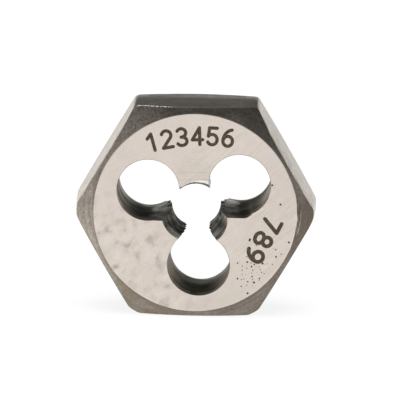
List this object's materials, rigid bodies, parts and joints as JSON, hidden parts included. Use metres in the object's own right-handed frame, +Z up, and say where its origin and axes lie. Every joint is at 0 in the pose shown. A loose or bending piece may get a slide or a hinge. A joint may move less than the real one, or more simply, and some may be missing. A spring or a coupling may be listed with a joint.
{
  "type": "hexagonal die nut",
  "caption": "Hexagonal steel die nut that cuts or cleans an external screw thread, with chip holes round its bore and flats for a spanner.",
  "frame": {"origin": "middle of the lowest hexagon flat, halfway through the thickness: the bottom centre of the bounding box", "axes": "+Y along the thread axis, from the marked front face to the back face; +Z up, square to the flat it stands on; +X to the right as seen from the front"},
  "size_m": [0.0204, 0.006, 0.018],
  "materials": {
    "steel": "ground and lightly stained"
  },
  "bodies": {
    "root": {"die_nut": "steel"}
  },
  "joints": []
}
